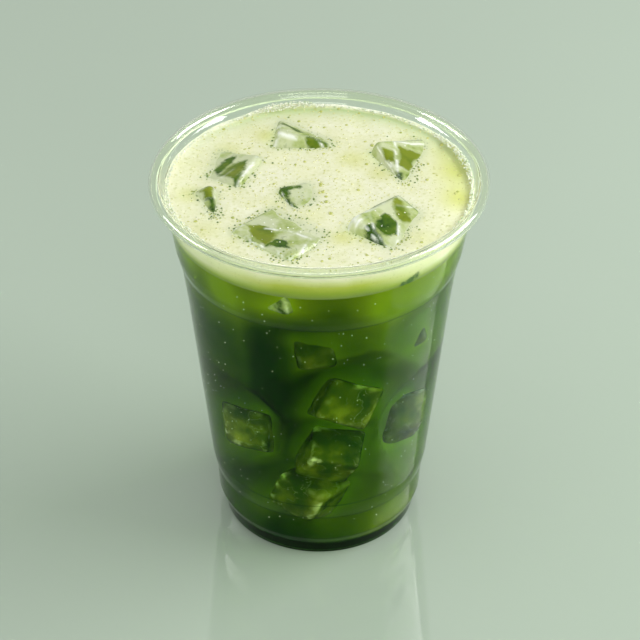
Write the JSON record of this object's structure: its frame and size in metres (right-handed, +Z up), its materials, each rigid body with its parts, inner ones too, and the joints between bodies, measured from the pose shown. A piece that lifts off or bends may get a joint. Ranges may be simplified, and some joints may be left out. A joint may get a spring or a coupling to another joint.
{
  "type": "green juice in a clear takeaway cup",
  "caption": "Open clear takeaway cup filled nearly to its rolled rim with green juice, a pale head of foam and melting ice cubes that stand through the foam",
  "frame": {"origin": "middle of the ring that the cup stands on, at the bottom of the whole", "axes": "+Z up along the cup's axis, from base to rim; the cup is round, so +X and +Y only say where the ice cubes lie"},
  "size_m": [0.098, 0.098, 0.12],
  "materials": {
    "clear_plastic": "clear drawn plastic, polished, thin",
    "green_juice": "cloudy dark green liquid, wet gloss",
    "foam": "pale yellow-green froth with open bubbles, moist and matt",
    "ice": "clear melting ice with rounded wet edges"
  },
  "bodies": {
    "root": {"cup": "clear_plastic", "juice": "green_juice", "foam": "foam", "ice_1": "ice", "ice_2": "ice", "ice_3": "ice", "ice_4": "ice", "ice_5": "ice", "ice_6": "ice", "ice_7": "ice"}
  },
  "joints": []
}
